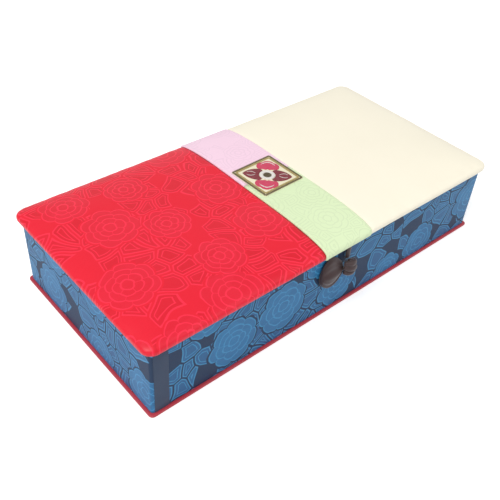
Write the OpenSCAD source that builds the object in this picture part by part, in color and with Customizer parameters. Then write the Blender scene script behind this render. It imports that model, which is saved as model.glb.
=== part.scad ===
// Padded gift box covered in brocade, with a hinged patchwork lid.
// A thin base plate carries a tray of four cardboard walls wrapped in one strip of brocade.
// The lid is a board with a crowned pad under satin covers, hung on a cloth hinge at the back,
// with a tied fabric pull under its front edge.
// The origin is the centre of the base plate's underside: +X along the length, -Y is the front.

/* [Base plate] */
// Length of the base plate
base_l = 300; // [240:5:360]
// Depth of the base plate, front to back
base_d = 147; // [130:1:180]
// Radius of the base plate's corners, seen from above
base_corner_r = 3; // [2:0.5:8]
// Thickness of the board in the base plate
base_board_t = 1.2; // [1:0.1:3]
// Thickness of the cloth round the base plate
base_cloth_t = 0.2; // [0.2:0.1:0.6]
// Width of cloth turned in on the base plate's upper side
base_turn_in = 14; // [8:1:25]

/* [Tray] */
// Width of the ledge that the base plate shows round the tray
ledge = 2; // [1:0.5:6]
// Height of the tray above the base plate
tray_h = 50.5; // [35:0.5:90]
// Thickness of the wall boards
wall_t = 2.5; // [1.5:0.5:4]
// Thickness of the brocade
brocade_t = 0.4; // [0.3:0.1:0.8]
// Radius of the tray's upright corners, outside
tray_corner_r = 2; // [1.5:0.5:4]
// Depth of brocade turned in over the walls' top edges
brocade_turn_in = 12; // [6:1:20]
// Width of the lap that closes the brocade strip, at the left of the front wall
lap_w = 10; // [6:1:16]
// Thickness of the lap
lap_t = 0.3; // [0.2:0.1:0.5]

/* [Inside] */
// Thickness of the lining cards with their satin
lining_t = 1.2; // [0.8:0.1:2]
// Distance of the lining cards' top edges below the walls' top
lining_drop = 3; // [2:0.5:6]
// Thickness of the tray's floor board
floor_board_t = 1.6; // [1:0.1:3]
// Thickness of the floor pad at its edge
floor_pad_t = 2.4; // [1:0.2:5]
// Rise of the floor pad from its edge to its middle
floor_crown = 1.5; // [0.5:0.1:3]
// Width over which the floor pad rises
floor_roll_w = 26; // [10:1:50]
// Thickness of the satin over the floor pad
satin_t = 0.4; // [0.3:0.1:0.8]
// Clearance round the floor pad
floor_play = 0.3; // [0.2:0.1:1]

/* [Lid] */
// Gap between the tray's top edge and the lid's underside
lid_gap = 0.5; // [0.4:0.1:1]
// Distance that the lid stands out beyond the tray's walls
lid_overhang = 3.5; // [2.5:0.5:5]
// Radius of the lid's corners, seen from above
lid_corner_r = 7; // [4:0.5:14]
// Thickness of the lid board
lid_board_t = 3; // [2:0.5:4]
// Height of the lid's flat top above its underside
lid_h = 10; // [8:0.5:16]
// Height of the lid's widest line above its underside
lid_side_h = 2.2; // [1.5:0.1:3]
// Width over which the pad's top rolls down to the lid's edge
lid_roll_w = 42; // [30:1:55]
// Radius of the lid's lower edge
lid_edge_r = 1.2; // [0.8:0.1:1.4]
// Thickness of the satin covers with their interlining
cover_t = 0.5; // [0.4:0.1:0.8]
// Width of cover turned in under the lid
cover_turn_in = 15; // [10:1:22]
// Thickness of the lid's lining card below the lid's underside
lid_card_t = 0.8; // [0.6:0.1:1.5]
// Clearance between the lid's lining card and the tray's walls
lid_card_play = 2; // [1:0.5:4]

/* [Band] */
// Width of the band across the lid
band_w = 41.5; // [34:0.5:60]
// Distance of the band's centre line from the lid's centre, to the right
band_x = 0.8; // [-20:0.2:20]
// Height of the band above the satin beside it
band_t = 0.8; // [0.4:0.1:1.5]
// Distance of the seam between green and pink behind the lid's centre
band_seam_y = 4; // [-20:1:20]

/* [Embroidered patch] */
// Width of the patch
patch_w = 35.5; // [30:0.5:38]
// Depth of the patch, front to back
patch_d = 34.5; // [30:0.5:38]
// Distance of the patch's centre behind the lid's centre
patch_y = 3.9; // [-8:0.1:8]
// Turn of the patch on the band, in degrees
patch_turn = 1.5; // [-5:0.5:5]
// Thickness of the patch's ground cloth
patch_t = 0.4; // [0.3:0.1:1]
// Width of the patch's stitched border
border_w = 3; // [2:0.2:4]
// Height of the border's stitches over the ground cloth
border_t = 0.5; // [0.2:0.1:1]
// Height of the flower's stitches over the ground cloth
stitch_t = 0.4; // [0.2:0.1:0.8]
// Reach of the flower's petals and leaves from its centre
flower_r = 17; // [14:0.2:17.2]
// Outer radius of the white ring
ring_r = 5.4; // [4.5:0.1:6]
// Radius of the dark centre
center_r = 2.8; // [2:0.1:3.5]
// Half the greatest width of a leaf
leaf_half_w = 6.6; // [5:0.1:7]
// Gap between neighbouring fields of stitches
stitch_gap = 0.3; // [0.2:0.1:0.5]

/* [Pull] */
// Distance of the pull's strap from the lid's centre, to the right
pull_x = 4; // [-40:1:40]
// Width of the strap
strap_w = 5; // [3:0.5:8]
// Thickness of the strap
strap_t = 2.2; // [1.5:0.1:2.6]
// Length of the strap from its fold down to the knot
strap_l = 7; // [4:0.5:14]
// Thickness of the strap's tail, glued under the lid
tail_t = 0.3; // [0.2:0.1:0.4]
// Length of the strap's tail
tail_l = 14; // [8:1:20]
// Clearance between the pull and the box
pull_play = 0.3; // [0.2:0.1:0.6]
// Outer radius of the knot
knot_r = 6.8; // [5:0.2:9]
// Radius of the tube of cloth that makes the knot
knot_tube_r = 1.5; // [1.2:0.1:1.5]
// Half the thickness of the knot, front to back
knot_half_t = 4.6; // [4.4:0.2:5]
// Reach of the loop to the left of the knot
loop_reach = 18.5; // [10:0.5:24]
// Height of the loop
loop_h = 24; // [16:0.5:26]
// Bulge of the loop's front before its middle plane
loop_bulge = 5.6; // [3:0.2:7]

/* [Hinge] */
// Length of the hinge cloth
hinge_l = 276; // [200:2:284]
// Thickness of the hinge cloth
hinge_t = 0.3; // [0.2:0.1:0.4]
// Height of the hinge cloth's leaf on the rear wall
hinge_drop = 18; // [10:1:30]
// Width of the hinge cloth's leaf under the lid
hinge_lid_w = 12; // [8:1:20]

/* [Hidden] */

// Overlap of cuts past the faces that they cut
cut = 1;

// Base plate and tray
base_t = base_board_t + 2 * base_cloth_t;
tray_l = base_l - 2 * ledge;
tray_d = base_d - 2 * ledge;
board_l = tray_l - 2 * brocade_t;
board_d = tray_d - 2 * brocade_t;
board_corner_r = tray_corner_r - brocade_t;
tray_top = base_t + tray_h;
board_top = tray_top - brocade_t;
well_l = board_l - 2 * wall_t;
well_d = board_d - 2 * wall_t;

// Inside: a lining card stands over the brocade's turned-in edge
lining_depth = brocade_t + lining_t;
floor_top = base_t + floor_board_t;
room_l = well_l - 2 * lining_depth;
room_d = well_d - 2 * lining_depth;
pad_l = room_l - 2 * floor_play;
pad_d = room_d - 2 * floor_play;

// Lid
lid_z = tray_top + lid_gap;
lid_l = tray_l + 2 * lid_overhang;
lid_d = tray_d + 2 * lid_overhang;
lid_inner_edge_r = 0.7 * lid_edge_r;
lid_board_inset = cover_t + lid_inner_edge_r + 0.05;
lid_board_z = lid_z + cover_t;
lid_pad_z = lid_board_z + lid_board_t;
band_left = band_x - band_w / 2;
band_right = band_x + band_w / 2;
patch_z = lid_z + lid_h + band_t;

// The pad rises from the lid's widest line to its flat top by this rule, s running from 0 to 1
function rise(s) = pow(1 - pow(1 - s, 1.5), 1 / 3);
function rise_inverse(v) = 1 - pow(1 - pow(v, 3), 2 / 3);

// Stations of s: the pad's lower rim first, then closer together near the edge than inside
roll_steps = 11;
rim_s = rise_inverse((lid_pad_z - lid_z - lid_side_h) / (lid_h - cover_t - lid_side_h));
roll_s = concat([rim_s], [
    for (j = [1:roll_steps])
        let (s = pow(j / roll_steps, 2.2))
            if (s > 1.6 * rim_s) s
]);

// A point on the lid's section: distance in from the widest line, height above the underside.
// t is the distance of the surface below the covers' outer face.
function roll_point(s, t) = [
    t + (lid_roll_w - t) * s,
    lid_side_h + (lid_h - t - lid_side_h) * rise(s)
];
function edge_point(a, t) = let (
        r = t > 0 ? lid_inner_edge_r : lid_edge_r,
        low = max(t, 0)
    ) [t + r * (1 - cos(a)), lid_side_h - (lid_side_h - low) * sin(a)];
function section(t) = concat(
    [[cover_turn_in, max(t, 0)]],
    [for (a = [90:-30:0]) edge_point(a, t)],
    [for (s = roll_s) roll_point(s, t)]
);

// Corner radius of the lid at a distance in from its edge: the pad's corners grow softer inwards
function lid_r(d) = lid_corner_r + 0.25 * d;

// Points of a rounded rectangle at height z, anticlockwise, quarter by quarter
corner_steps = 6;
corner_sx = [1, -1, -1, 1];
corner_sy = [1, 1, -1, -1];
function corner(l, d, r, z, c) = [
    for (i = [0:corner_steps])
        let (a = 90 * (c + i / corner_steps))
            [corner_sx[c] * (l / 2 - r) + r * cos(a), corner_sy[c] * (d / 2 - r) + r * sin(a), z]
];
function ring(l, d, r, z) = [for (c = [0:3]) each corner(l, d, r, z, c)];

// The same, cut off at x = x0: the part on the left (side -1) or on the right (side 1)
function open_ring(l, d, r, z, x0, side) = concat(
    [[x0, -side * d / 2, z]],
    side < 0 ? concat(corner(l, d, r, z, 1), corner(l, d, r, z, 2))
             : concat(corner(l, d, r, z, 3), corner(l, d, r, z, 0)),
    [[x0, side * d / 2, z]]
);

// Faces between ring k and ring k + 1 of n points each, all split along the same diagonal so
// that a skin and the pad under it share their faces
function wall_faces(k, n, closed) = [
    for (i = [0:(closed ? n - 1 : n - 2)])
        let (j = (i + 1) % n)
            each [[k * n + i, (k + 1) * n + i, (k + 1) * n + j], [k * n + i, (k + 1) * n + j, k * n + j]]
];
function flipped(faces) = [for (f = faces) [for (i = [len(f) - 1:-1:0]) f[i]]];
function shifted(faces, by) = [for (f = faces) [for (i = f) i + by]];

// A solid through closed rings, from the bottom one to the top one
module stack(rings) {
    n = len(rings[0]);
    last = (len(rings) - 1) * n;
    polyhedron(
        points = [for (r = rings) each r],
        faces = concat(
            [[for (i = [0:n - 1]) i]],
            [for (k = [0:len(rings) - 2]) each wall_faces(k, n, true)],
            [[for (i = [n - 1:-1:0]) last + i]]
        )
    );
}

// A skin between two stacks of closed rings, open at the bottom
module skin(outer, inner) {
    n = len(outer[0]);
    m = len(outer);
    last = (m - 1) * n;
    sides = [for (k = [0:m - 2]) each wall_faces(k, n, true)];
    top = [[for (i = [n - 1:-1:0]) last + i]];
    polyhedron(
        points = concat([for (r = outer) each r], [for (r = inner) each r]),
        faces = concat(
            sides, top,
            shifted(flipped(concat(sides, top)), m * n),
            [for (i = [0:n - 1]) let (j = (i + 1) % n) [i, j, m * n + j, m * n + i]]
        )
    );
}

// A skin between two stacks of open rings: its two ends and its top lie on one upright plane
module cut_skin(outer, inner) {
    n = len(outer[0]);
    m = len(outer);
    last = (m - 1) * n;
    all = m * n;
    sides = [for (k = [0:m - 2]) each wall_faces(k, n, false)];
    top = [[for (i = [n - 1:-1:0]) last + i]];
    polyhedron(
        points = concat([for (r = outer) each r], [for (r = inner) each r]),
        faces = concat(
            sides, top,
            shifted(flipped(concat(sides, top)), all),
            [for (i = [0:n - 2]) [i, i + 1, all + i + 1, all + i]],
            [for (k = [0:m - 2]) [k * n, all + k * n, all + (k + 1) * n, (k + 1) * n]],
            [for (k = [0:m - 2]) let (e = n - 1)
                [k * n + e, (k + 1) * n + e, all + (k + 1) * n + e, all + k * n + e]],
            [[last, all + last, all + last + n - 1, last + n - 1]]
        )
    );
}

module rounded_rect(l, d, r) {
    square([l - 2 * r, d], center = true);
    square([l, d - 2 * r], center = true);
    for (c = [0:3])
        translate([corner_sx[c] * (l / 2 - r), corner_sy[c] * (d / 2 - r)])
            circle(r = r, $fn = 48);
}

// A rounded slab from z0 to z1, centred on the origin
module slab(l, d, r, z0, z1) {
    translate([0, 0, z0])
        linear_extrude(z1 - z0)
            rounded_rect(l, d, r);
}

// A square-cornered block from z0 to z1, centred on the origin
module block(l, d, z0, z1) {
    translate([-l / 2, -d / 2, z0])
        cube([l, d, z1 - z0]);
}

// Base plate

module base_board() {
    color("#b9a88c")
        slab(base_l - 2 * base_cloth_t, base_d - 2 * base_cloth_t,
             base_corner_r - base_cloth_t, base_cloth_t, base_cloth_t + base_board_t);
}

module base_cloth() {
    color("#8e1230")
        difference() {
            slab(base_l, base_d, base_corner_r, 0, base_t);
            slab(base_l - 2 * base_cloth_t, base_d - 2 * base_cloth_t,
                 base_corner_r - base_cloth_t, base_cloth_t, base_cloth_t + base_board_t);
            block(base_l - 2 * base_turn_in, base_d - 2 * base_turn_in,
                  base_cloth_t + base_board_t / 2, base_t + cut);
        }
}

// Tray walls: the front and rear boards run the full length, the side boards stand between them

module long_board(side) {
    intersection() {
        slab(board_l, board_d, board_corner_r, base_t, board_top);
        translate([0, side * (board_d - wall_t) / 2, 0])
            block(board_l, wall_t, base_t, board_top);
    }
}

module side_board(side) {
    translate([side * (board_l - wall_t) / 2, 0, 0])
        block(wall_t, well_d, base_t, board_top);
}

module front_board() {
    color("#b9a88c")
        long_board(-1);
}

module rear_board() {
    color("#b9a88c")
        long_board(1);
}

module left_board() {
    color("#b9a88c")
        side_board(-1);
}

module right_board() {
    color("#b9a88c")
        side_board(1);
}

// One strip of brocade: round the walls, over their top edges and down inside, with its lap
module wall_brocade() {
    color("#1d5f8c") {
        difference() {
            slab(tray_l, tray_d, tray_corner_r, base_t, tray_top);
            slab(board_l, board_d, board_corner_r, base_t - cut, tray_top - brocade_turn_in);
            difference() {
                slab(board_l, board_d, board_corner_r, tray_top - brocade_turn_in - cut, board_top);
                block(well_l, well_d, base_t, tray_top + cut);
            }
            block(well_l - 2 * brocade_t, well_d - 2 * brocade_t, base_t, tray_top + cut);
        }
        translate([-tray_l / 2 + tray_corner_r, -tray_d / 2 - lap_t, base_t])
            cube([lap_w, lap_t, tray_h]);
    }
}

// Lining cards: each stands on the floor board, against the wall below and the brocade above

module long_lining(side) {
    foot_h = board_top + brocade_t - brocade_turn_in - floor_top;
    translate([0, side * (well_d - lining_depth) / 2, 0])
        block(well_l, lining_depth, floor_top, floor_top + foot_h);
    translate([0, side * (room_d + lining_t) / 2, 0])
        block(well_l - 2 * brocade_t, lining_t, floor_top, tray_top - lining_drop);
}

module side_lining(side) {
    foot_h = board_top + brocade_t - brocade_turn_in - floor_top;
    translate([side * (well_l - lining_depth) / 2, 0, 0])
        block(lining_depth, room_d, floor_top, floor_top + foot_h);
    translate([side * (room_l + lining_t) / 2, 0, 0])
        block(lining_t, room_d, floor_top, tray_top - lining_drop);
}

module front_lining() {
    color("#e9dcae")
        long_lining(-1);
}

module rear_lining() {
    color("#e9dcae")
        long_lining(1);
}

module left_lining() {
    color("#e9dcae")
        side_lining(-1);
}

module right_lining() {
    color("#e9dcae")
        side_lining(1);
}

module floor_board() {
    color("#b9a88c")
        block(well_l, well_d, base_t, floor_top);
}

// Rings of the crowned floor pad, t below the satin's upper face
function floor_rings(t) = concat(
    [ring(pad_l - 2 * t, pad_d - 2 * t, 2, floor_top)],
    [for (j = [0:5]) let (
            s = pow(j / 5, 1.6),
            d = t + (floor_roll_w - t) * s
        )
        ring(pad_l - 2 * d, pad_d - 2 * d, 2 + 0.2 * d,
             floor_top + floor_pad_t + satin_t - t + floor_crown * (1 - pow(1 - s, 2)))]
);

module floor_pad() {
    color("#f4f0e4")
        stack(floor_rings(satin_t));
}

module floor_lining() {
    color("#e9dcae")
        skin(floor_rings(0), floor_rings(satin_t));
}

// Hinge cloth: one leaf down the rear wall, the other under the lid

module hinge_wall_leaf() {
    color("#8e1230")
        translate([-hinge_l / 2, tray_d / 2, tray_top - hinge_drop])
            cube([hinge_l, hinge_t, hinge_drop]);
}

module hinge_lid_leaf() {
    color("#8e1230")
        translate([-hinge_l / 2, tray_d / 2 + hinge_t - hinge_lid_w, lid_z - hinge_t])
            cube([hinge_l, hinge_lid_w, hinge_t]);
}

// Lid

module lid_board() {
    color("#b9a88c")
        slab(lid_l - 2 * lid_board_inset, lid_d - 2 * lid_board_inset,
             lid_r(lid_board_inset) + 1, lid_board_z, lid_pad_z);
}

// The pad lies on the board and fills the covers up to their inner face
module lid_pad() {
    color("#f4f0e4")
        stack([
            for (s = roll_s) let (p = roll_point(s, cover_t))
                ring(lid_l - 2 * p[0], lid_d - 2 * p[0], lid_r(p[0]), lid_z + p[1])
        ]);
}

// The lining card fits down into the tray and rises between the covers' turned-in edges.
// It is recessed for the hinge cloth's leaf and for the pull's tail.
module lid_lining() {
    card_l = well_l - 2 * lid_card_play;
    card_d = well_d - 2 * lid_card_play;
    slack = 0.2;
    leaf_front = tray_d / 2 + hinge_t - hinge_lid_w;
    tail_back = tail_l - strap_t / 2 - pull_axis_y_front;
    color("#e9dcae") {
        difference() {
            block(card_l, card_d, lid_z - lid_card_t, lid_z);
            translate([-hinge_l / 2 - slack, leaf_front - slack, lid_z - hinge_t])
                cube([hinge_l + 2 * slack, card_d, hinge_t + cut]);
            translate([pull_x - strap_w / 2 - slack, -lid_d / 2, lid_z - tail_t])
                cube([strap_w + 2 * slack, tail_back + slack + lid_d / 2, tail_t + cut]);
        }
        slab(lid_l - 2 * (cover_turn_in + slack), lid_d - 2 * (cover_turn_in + slack),
             lid_r(cover_turn_in), lid_z, lid_board_z);
    }
}

// Rings of a satin cover on the left (side -1) or right (side 1) of x0, t below its outer face
function cover_rings(t, x0, side) = [
    for (p = section(t))
        open_ring(lid_l - 2 * p[0], lid_d - 2 * p[0], lid_r(p[0]), lid_z + p[1], x0, side)
];

module red_cover() {
    color("#d8173a")
        cut_skin(cover_rings(0, band_left, -1), cover_rings(cover_t, band_left, -1));
}

module ivory_cover() {
    color("#f6efd8")
        cut_skin(cover_rings(0, band_right, 1), cover_rings(cover_t, band_right, 1));
}

// Half of the band's section, from the turned-in edge round the lid's edge to the seam.
// side is -1 for the front half and 1 for the rear half.
module band_half(side) {
    outer = section(-band_t);
    inner = section(cover_t);
    seam = side * band_seam_y;
    points = concat(
        [for (p = outer) [lid_d / 2 - p[0], p[1]]],
        [[seam, lid_h + band_t], [seam, lid_h - cover_t]],
        [for (i = [len(inner) - 1:-1:0]) [lid_d / 2 - inner[i][0], inner[i][1]]]
    );
    translate([band_left, 0, lid_z])
        rotate([90, 0, 90])
            linear_extrude(band_w)
                mirror([side < 0 ? 1 : 0, 0])
                    polygon(points);
}

module green_band() {
    color("#d6ebb9")
        band_half(-1);
}

module pink_band() {
    color("#f7cde2")
        band_half(1);
}

// Embroidered patch, drawn flat round its own centre

module on_patch(z) {
    translate([band_x, patch_y, patch_z + z])
        rotate(patch_turn)
            children();
}

module patch_ground() {
    color("#efe6c4")
        on_patch(0)
            translate([0, 0, patch_t / 2])
                cube([patch_w, patch_d, patch_t], center = true);
}

module patch_border() {
    color("#6f6a3c")
        on_patch(patch_t)
            linear_extrude(border_t)
                difference() {
                    square([patch_w, patch_d], center = true);
                    square([patch_w - 2 * border_w, patch_d - 2 * border_w], center = true);
                }
}

// A pointed leaf along +X, grown by g: the overlap of two circles
module leaf_2d(g) {
    half_l = (flower_r - ring_r) * 0.98;
    from_x = flower_r - half_l;
    r = (half_l * half_l + leaf_half_w * leaf_half_w) / (2 * leaf_half_w);
    intersection() {
        translate([from_x, leaf_half_w - r])
            circle(r = r + g, $fn = 96);
        translate([from_x, r - leaf_half_w])
            circle(r = r + g, $fn = 96);
    }
}

// A petal of three lobes along +X
module petal_2d() {
    lobe_r = flower_r * 0.27;
    translate([flower_r - lobe_r, 0])
        circle(r = lobe_r, $fn = 48);
    for (s = [-1, 1])
        translate([flower_r * 0.6, s * flower_r * 0.2])
            circle(r = lobe_r, $fn = 48);
}

module patch_petals() {
    color("#d8345f")
        on_patch(patch_t)
            linear_extrude(stitch_t)
                for (a = [45, 225])
                    rotate(a)
                        difference() {
                            petal_2d();
                            rotate(90)
                                leaf_2d(stitch_gap);
                            rotate(-90)
                                leaf_2d(stitch_gap);
                            circle(r = ring_r + stitch_gap, $fn = 64);
                        }
}

module patch_leaves() {
    color("#8c0d2a")
        on_patch(patch_t)
            linear_extrude(stitch_t)
                for (a = [135, 315])
                    rotate(a)
                        difference() {
                            leaf_2d(0);
                            circle(r = ring_r + stitch_gap, $fn = 64);
                        }
}

module patch_ring() {
    color("#fbf7ea")
        on_patch(patch_t)
            linear_extrude(stitch_t)
                difference() {
                    circle(r = ring_r, $fn = 64);
                    circle(r = center_r + stitch_gap / 3, $fn = 64);
                }
}

module patch_center() {
    color("#4a4126")
        on_patch(patch_t)
            cylinder(h = stitch_t, r = center_r, $fn = 64);
}

// Pull: it swings on the fold of its strap, in the middle of the lid's overhang.
// Its tail runs back from the fold between the tray's top edge and the lid.

pull_axis_y_front = (tray_d + lid_overhang) / 2 - strap_t / 8;
pull_axis_y = -pull_axis_y_front;
pull_axis_z = lid_z - tail_t - pull_play - strap_t / 2;
knot_x = pull_x - 1.5;
knot_y = -tray_d / 2 - pull_play - knot_half_t;
knot_z = pull_axis_z - strap_l - knot_r;

module pull_tail() {
    color("#4a161d")
        translate([pull_x - strap_w / 2, pull_axis_y - strap_t / 2, lid_z - tail_t])
            cube([strap_w, tail_l, tail_t]);
}

module pull_strap() {
    color("#4a161d")
        translate([pull_x - strap_w / 2, pull_axis_y, pull_axis_z]) {
            translate([0, -strap_t / 2, -strap_l])
                cube([strap_w, strap_t, strap_l]);
            rotate([0, 90, 0])
                cylinder(h = strap_w, d = strap_t, $fn = 32);
        }
}

// The knot is a tube of cloth tied over and under itself, drawn from the loops of a trefoil.
// The centre line keeps clear of itself by more than the tube's width.
knot_steps = 54;
knot_sides = 8;
knot_swell = 2.3;
knot_scale = (knot_r - knot_tube_r) / (knot_swell + 1);
knot_lift = knot_half_t - knot_tube_r;
function knot_line(a) = [
    knot_scale * (sin(a) + knot_swell * sin(2 * a)),
    -knot_lift * sin(3 * a),
    knot_scale * (cos(a) - knot_swell * cos(2 * a))
];
function unit(v) = v / norm(v);
knot_rings = [
    for (k = [0:knot_steps - 1]) let (
            a = 360 * k / knot_steps,
            p = knot_line(a),
            along = unit(knot_line(a + 0.5) - knot_line(a - 0.5)),
            across = unit(cross(along, [0, 1, 0])),
            up = cross(across, along)
        )
        [for (i = [0:knot_sides - 1]) let (b = 360 * i / knot_sides)
            p + knot_tube_r * (cos(b) * across + sin(b) * up)]
];

module pull_knot() {
    n = knot_sides;
    total = knot_steps * n;
    color("#4a161d")
        translate([knot_x, knot_y, knot_z])
            rotate([0, 60, 0])
            polyhedron(
                points = [for (r = knot_rings) each r],
                faces = [
                    for (k = [0:knot_steps - 1]) for (i = [0:n - 1]) let (
                            j = (i + 1) % n,
                            next = (k + 1) % knot_steps
                        )
                        each [[k * n + i, next * n + i, next * n + j], [k * n + i, next * n + j, k * n + j]]
                ]
            );
}

// The loop is one bow of the same cloth: gathered at the knot, puffed out to the left, thin
// under the lid's edge and full below it. u runs from the knot to the bow's tip.
loop_steps = 12;
loop_sides = 24;
loop_back = 0.95;
loop_plane_y = -tray_d / 2 - pull_play - loop_back;
loop_z = pull_axis_z - 1.5 - loop_h / 2;
function loop_spread(u) = u < 0.6 ? 0.34 + 0.66 * sin(150 * u) : sqrt(1 - pow((u - 0.6) / 0.43, 2));
function loop_point(u, a) = let (
        half_h = loop_h / 2 * loop_spread(u),
        fold = 1 + 0.16 * cos(7 * a) * (1 - u),
        front = loop_bulge * (0.45 + 0.55 * loop_spread(u)) * (1 - 0.55 * sin(a)) * fold,
        depth = cos(a) > 0 ? front : loop_back
    )
    [-u * loop_reach, -depth * cos(a), half_h * sin(a)];
loop_rings = [
    for (k = [0:loop_steps])
        [for (i = [0:loop_sides - 1]) loop_point(k / loop_steps, 360 * i / loop_sides)]
];

module pull_loop() {
    color("#4a161d")
        translate([knot_x - 0.55 * knot_r, loop_plane_y, loop_z])
            stack(loop_rings);
}

base_board();
base_cloth();
front_board();
rear_board();
left_board();
right_board();
wall_brocade();
front_lining();
rear_lining();
left_lining();
right_lining();
floor_board();
floor_pad();
floor_lining();
hinge_wall_leaf();
hinge_lid_leaf();
lid_board();
lid_pad();
lid_lining();
red_cover();
ivory_cover();
green_band();
pink_band();
patch_ground();
patch_border();
patch_petals();
patch_leaves();
patch_ring();
patch_center();
pull_tail();
pull_strap();
pull_knot();
pull_loop();
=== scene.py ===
import math

import bmesh
import bpy
from bpy.props import FloatProperty, FloatVectorProperty, IntProperty, PointerProperty
from mathutils import Matrix, Vector, noise


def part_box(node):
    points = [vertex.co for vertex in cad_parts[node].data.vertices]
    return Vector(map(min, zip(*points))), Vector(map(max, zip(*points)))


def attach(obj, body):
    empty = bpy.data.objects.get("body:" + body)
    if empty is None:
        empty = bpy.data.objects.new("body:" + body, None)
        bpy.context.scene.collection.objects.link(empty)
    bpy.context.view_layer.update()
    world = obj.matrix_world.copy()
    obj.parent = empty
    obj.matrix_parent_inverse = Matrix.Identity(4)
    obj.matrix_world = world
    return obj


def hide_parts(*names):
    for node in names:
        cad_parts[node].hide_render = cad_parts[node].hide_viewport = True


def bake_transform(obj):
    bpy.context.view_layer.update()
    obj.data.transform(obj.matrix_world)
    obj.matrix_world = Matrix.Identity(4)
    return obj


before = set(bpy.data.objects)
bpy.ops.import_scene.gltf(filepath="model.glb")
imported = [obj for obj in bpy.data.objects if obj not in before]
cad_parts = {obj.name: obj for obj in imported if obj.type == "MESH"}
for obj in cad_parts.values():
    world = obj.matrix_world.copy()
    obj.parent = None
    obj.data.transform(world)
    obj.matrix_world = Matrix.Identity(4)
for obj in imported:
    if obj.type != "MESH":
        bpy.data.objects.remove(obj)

bl_info = {
    "name": "Brocade Gift Box",
    "version": (1, 0, 0),
    "blender": (4, 5, 0),
    "location": "View3D > Sidebar > Gift Box",
    "description": "Covers, linings, embroidery and fabric pull of a padded brocade gift box",
    "category": "Object",
}

MM = 0.001
TURN = 2 * math.pi
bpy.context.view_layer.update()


def node_box(node):
    """Lowest and highest corner of a CAD node in millimetres."""
    low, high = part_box(node)
    return [v / MM for v in low], [v / MM for v in high]


# Sizes that the pieces below take from the CAD nodes, in millimetres
BASE_LOW, BASE_HIGH = node_box("base_cloth")
WALL_LOW, WALL_HIGH = node_box("wall_brocade")
RED_LOW, RED_HIGH = node_box("red_cover")
IVORY_LOW, IVORY_HIGH = node_box("ivory_cover")
BAND_LOW, BAND_HIGH = node_box("green_band")
PATCH_LOW, PATCH_HIGH = node_box("patch_ground")
STRAP_LOW, STRAP_HIGH = node_box("pull_strap")
TAIL_LOW, TAIL_HIGH = node_box("pull_tail")
KNOT_LOW, KNOT_HIGH = node_box("pull_knot")
LOOP_LOW, LOOP_HIGH = node_box("pull_loop")
BASE_TOP = BASE_HIGH[2]
TRAY_L = WALL_HIGH[0] - WALL_LOW[0]
TRAY_D = 2 * WALL_HIGH[1]
TRAY_TOP = WALL_HIGH[2]
LID_L = IVORY_HIGH[0] - RED_LOW[0]
LID_D = RED_HIGH[1] - RED_LOW[1]
LID_Z = RED_LOW[2]
LID_H = RED_HIGH[2] - RED_LOW[2]
BAND_W = BAND_HIGH[0] - BAND_LOW[0]
BAND_T = BAND_HIGH[2] - RED_HIGH[2]
SEAM_Y = BAND_HIGH[1]
PATCH_X = (PATCH_LOW[0] + PATCH_HIGH[0]) / 2
PATCH_Y = (PATCH_LOW[1] + PATCH_HIGH[1]) / 2
PATCH_TOP = PATCH_HIGH[2]

# Base plate and tray, in millimetres
BASE_CORNER_R = 3.0
TRAY_CORNER_R = 2.0
WALL_BOARD_T = 2.5
BROCADE_T = 0.4
LAP_AT = 2.0
LAP_W = 10.0
LAP_T = 0.3
LINING_T = 1.2
LID_CARD_T = 0.45
FLOOR_CROWN = 1.5
FLOOR_CORNER_R = 2.0

# The lid's section, as its maker pads it, in millimetres
ROLL_W = 42.0
ROLL_ROWS = 22
ROLL_CROWDING = 2.3
SIDE_H = 2.2
EDGE_R = 1.2
EDGE_TURNS = (90, 72, 54, 36, 18, 0)
INNER_EDGE = 0.7
MIDDLE_W = 32.3
MIDDLE_ROWS = 8
TURN_IN = 15.0
CORNER_R = 7.0
CORNER_GROWTH = 0.25
CORNER_STEPS = 10
COVER_T = 0.5
BAND_UNDERSIDE = 0.42

# Embroidered patch, in millimetres
PATCH_TURN = math.radians(1.5)
PATCH_W = 35.5
PATCH_D = 34.5
FLOWER_R = 17.0
RING_R = 5.4
HEART_R = 2.8
LEAF_HALF_W = 6.6
STITCH_GAP = 0.3
FIELD_CENTRE = (11.0, 0.0)
FIELD_H = 0.42


def length_property(name, description, default, low, high, precision=5):
    return FloatProperty(
        name=name, description=description, default=default,
        min=low, max=high, unit="LENGTH", precision=precision,
    )


class CoverSizes(bpy.types.PropertyGroup):
    """Sizes of the covers that a maker would change."""

    pucker: length_property(
        "Pucker depth", "Depth of the small gathers along the lid's edge", 0.00035, 0.0, 0.001)
    crease: length_property(
        "Crease depth", "Depth of the creases that run in from the lid's front edge", 0.0005, 0.0, 0.001)
    swell: length_property(
        "Padding unevenness", "How far the wadding lifts and sinks under the satin", 0.0004, 0.0, 0.001)
    flower_spacing: length_property(
        "Flower spacing", "Distance between the woven peonies of the brocade", 0.047, 0.02, 0.08, 4)
    leaf_size: length_property(
        "Leaf size", "Size of the woven leaves between the peonies", 0.0135, 0.006, 0.03, 4)
    thread_pitch: length_property(
        "Thread pitch", "Distance between the ribs of the weave", 0.0007, 0.0004, 0.002)
    stitch_pitch: length_property(
        "Stitch pitch", "Distance between the stitches of the patch's border", 0.0009, 0.0006, 0.002)
    stitch_count: IntProperty(
        name="Strokes per petal", description="Number of pale thread strokes on each petal",
        default=3, min=1, max=5,
    )


def colour_property(name, description, default):
    return FloatVectorProperty(
        name=name, description=description, default=default,
        size=3, min=0.0, max=1.0, subtype="COLOR",
    )


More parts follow.
